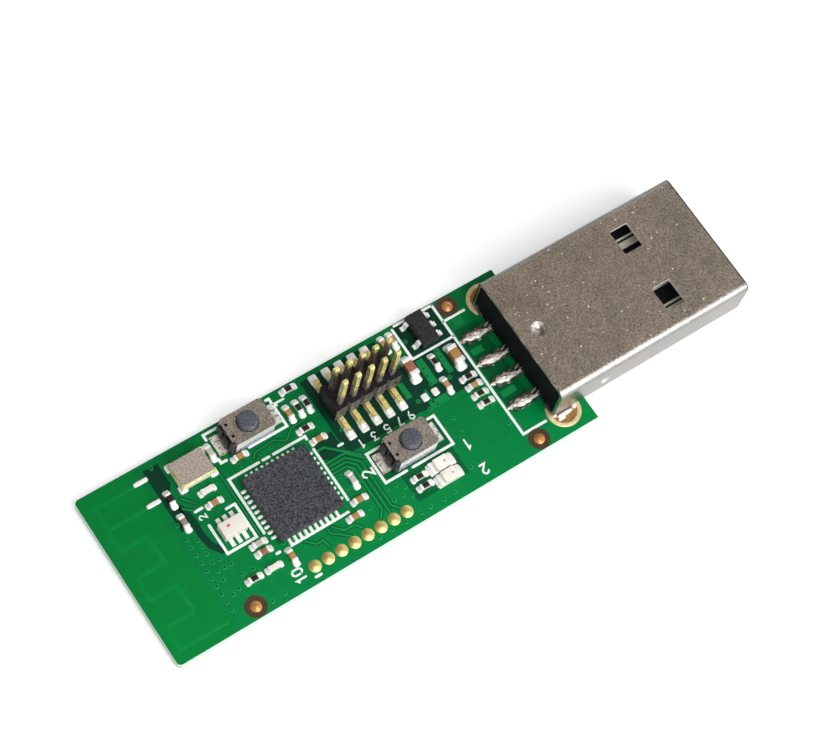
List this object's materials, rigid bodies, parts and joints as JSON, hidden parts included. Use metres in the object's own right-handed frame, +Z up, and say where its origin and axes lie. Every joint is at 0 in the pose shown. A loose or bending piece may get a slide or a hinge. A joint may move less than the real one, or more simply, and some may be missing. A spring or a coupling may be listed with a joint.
{
  "type": "usb radio stick",
  "caption": "Bare circuit board radio stick with a full-size data plug at one end, push buttons, a pin header and soldered chip parts on its upper face.",
  "frame": {"origin": "on the board's underside, under the middle of the whole stick", "axes": "+X along the stick to the plug's mouth, +Y across the board, +Z up out of the parts side"},
  "size_m": [0.057, 0.0158, 0.0077],
  "materials": {
    "board": "solder mask on glass-fibre laminate",
    "gold": "gold plating",
    "solder": "bright tin",
    "shell_steel": "satin nickel on steel",
    "black_plastic": "glass-filled moulding",
    "chip_resin": "fine matt resin",
    "pale_ceramic": "sintered ceramic",
    "pale_plastic": "white moulding",
    "lamp_resin": "clear to milky resin",
    "resistor_black": "glazed top",
    "capacitor_tan": "sintered ceramic",
    "capacitor_grey": "sintered ceramic",
    "capacitor_brown": "sintered ceramic",
    "button_plastic": "smooth moulding"
  },
  "bodies": {
    "stick": {"antenna_capacitor": "capacitor_tan", "antenna_inductor": "resistor_black", "balun_body": "pale_ceramic", "balun_terminals": "solder", "bias_resistor": "resistor_black", "bypass_capacitor_1": "capacitor_brown", "bypass_capacitor_2": "capacitor_brown", "circuit_board": "board", "crystal_base": "pale_ceramic", "crystal_capacitor": "capacitor_grey", "crystal_lid": "shell_steel", "decoupling_capacitors": "capacitor_tan", "ferrite_bead": "capacitor_grey", "gold_pads": "gold", "header_body": "black_plastic", "header_pin_1": "gold", "header_pin_10": "gold", "header_pin_2": "gold", "header_pin_3": "gold", "header_pin_4": "gold", "header_pin_5": "gold", "header_pin_6": "gold", "header_pin_7": "gold", "header_pin_8": "gold", "header_pin_9": "gold", "led_1_base": "pale_plastic", "led_1_lens": "lamp_resin", "led_2_base": "pale_plastic", "led_2_lens": "lamp_resin", "led_resistors": "resistor_black", "line_capacitor": "capacitor_tan", "matching_capacitor_1": "capacitor_tan", "matching_capacitor_2": "capacitor_grey", "matching_capacitor_3": "capacitor_tan", "matching_inductor_1": "pale_ceramic", "matching_inductor_2": "pale_ceramic", "plug_contact_1": "gold", "plug_contact_2": "gold", "plug_contact_3": "gold", "plug_contact_4": "gold", "plug_insulator": "black_plastic", "plug_shell": "shell_steel", "pull_up_resistors": "resistor_black", "radio_chip_body": "chip_resin", "radio_chip_leads": "solder", "regulator_body": "chip_resin", "regulator_leads": "solder", "series_resistors": "resistor_black", "solder_joints": "solder", "supply_capacitors": "capacitor_tan", "switch_1_base": "pale_plastic", "switch_1_cover": "shell_steel", "switch_1_dome": "shell_steel", "switch_1_terminals": "solder", "switch_2_base": "pale_plastic", "switch_2_cover": "shell_steel", "switch_2_dome": "shell_steel", "switch_2_terminals": "solder"},
    "button_1": {"switch_1_button": "button_plastic"},
    "button_2": {"switch_2_button": "button_plastic"}
  },
  "joints": [
    {"name": "button_1_press", "type": "slide", "parent": "stick", "child": "button_1", "axis": [0, 0, -1], "range_m": [0, 0.00025], "stiffness_N_per_m": 4000, "deforming": ["switch_1_dome"]},
    {"name": "button_2_press", "type": "slide", "parent": "stick", "child": "button_2", "axis": [0, 0, -1], "range_m": [0, 0.00025], "stiffness_N_per_m": 4000, "deforming": ["switch_2_dome"]}
  ]
}
